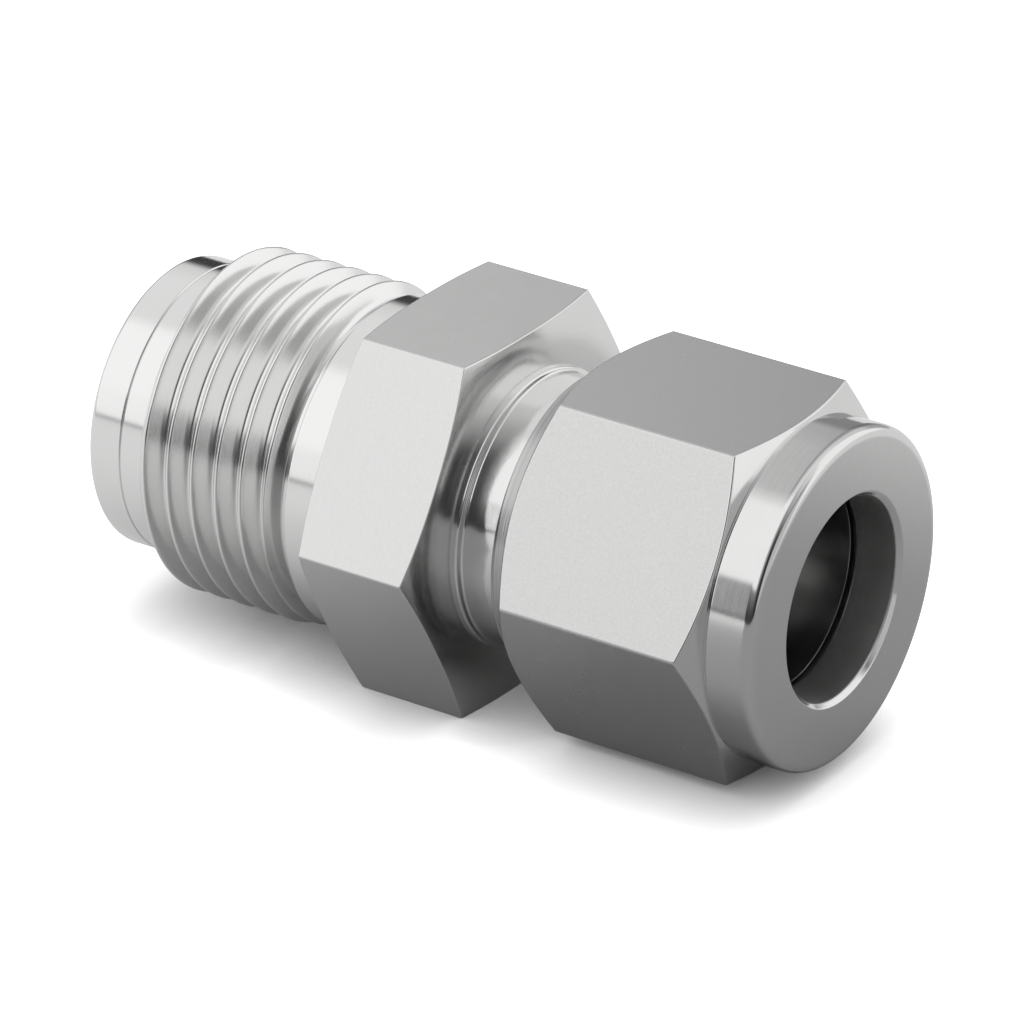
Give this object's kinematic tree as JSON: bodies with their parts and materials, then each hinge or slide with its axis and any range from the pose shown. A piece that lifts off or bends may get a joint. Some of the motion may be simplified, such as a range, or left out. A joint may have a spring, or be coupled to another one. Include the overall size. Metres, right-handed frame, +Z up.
{
  "type": "face seal tube fitting",
  "caption": "Straight steel fitting: threaded face seal end with sealing bead, body hexagon, and a tube end with a hex nut that screws over ferrules.",
  "frame": {"origin": "on the surface it lies on, under the middle of the fitting's overall box", "axes": "+X along the fitting's axis towards the tube nut, +Z up from the body hexagon's lower flat"},
  "size_m": [0.0498, 0.0274, 0.0238],
  "materials": {
    "body_steel": "turned and polished stainless steel, satin on the hexagon's flats",
    "nut_steel": "satin stainless steel with a fine grain, turned collar",
    "ferrule_steel": "bright turned stainless steel"
  },
  "bodies": {
    "body": {"fitting_body": "body_steel"},
    "ferrules": {"front_ferrule": "ferrule_steel", "back_ferrule": "ferrule_steel"},
    "nut": {"tube_nut": "nut_steel"}
  },
  "joints": [
    {"name": "nut_travel", "type": "slide", "parent": "body", "child": "ferrules", "axis": [1, 0, 0], "range_m": [0, 0.00763]},
    {"name": "nut_turn", "type": "hinge", "parent": "ferrules", "child": "nut", "pos_m": [0, 0, 0.01191], "axis": [1, 0, 0], "range_deg": [0, 2160]}
  ],
  "couplings": [
    {"joint": "nut_travel", "follows": "nut_turn", "m_per_rad": 0.00020213}
  ]
}
